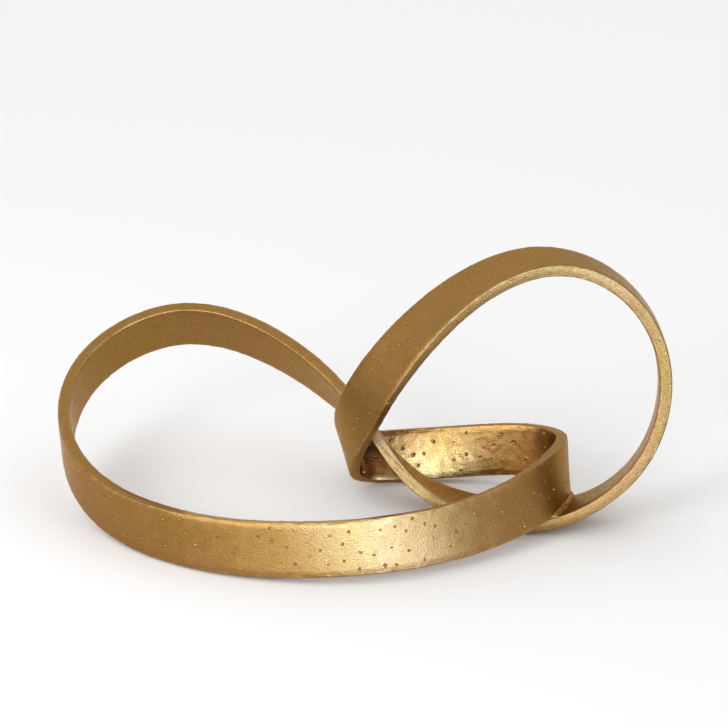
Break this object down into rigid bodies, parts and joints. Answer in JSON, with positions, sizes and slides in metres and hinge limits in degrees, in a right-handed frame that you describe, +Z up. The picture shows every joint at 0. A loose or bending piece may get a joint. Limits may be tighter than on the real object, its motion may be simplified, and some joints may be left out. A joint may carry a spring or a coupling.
{
  "type": "knot sculpture",
  "caption": "Flat metal band tied into one closed overhand knot: a wide loop lying low, a tall ring standing through it, and a tight bend between them.",
  "frame": {"origin": "middle of the whole part's footprint, on the plane of the three ground foot flats", "axes": "+X from the wide loop towards the tall ring, the long way of the part; +Y away from the front band; +Z up"},
  "size_m": [0.3621, 0.1954, 0.1562],
  "materials": {
    "cast_gold": "satin gold metallic finish on rough sand-cast aluminium, brighter on rubbed corners",
    "weld_gold": "satin gold metallic finish over weld metal, ground or left rippled"
  },
  "bodies": {
    "root": {"big_loop_casting": "cast_gold", "fold_casting": "cast_gold", "bend_casting": "cast_gold", "ring_casting": "cast_gold", "back_seam_weld": "weld_gold", "fold_seam_weld": "weld_gold", "inner_run_seam_weld": "weld_gold", "ring_seam_weld": "weld_gold", "outer_fillet_weld": "weld_gold", "inner_fillet_weld": "weld_gold", "bend_tack_weld": "weld_gold"}
  },
  "joints": []
}
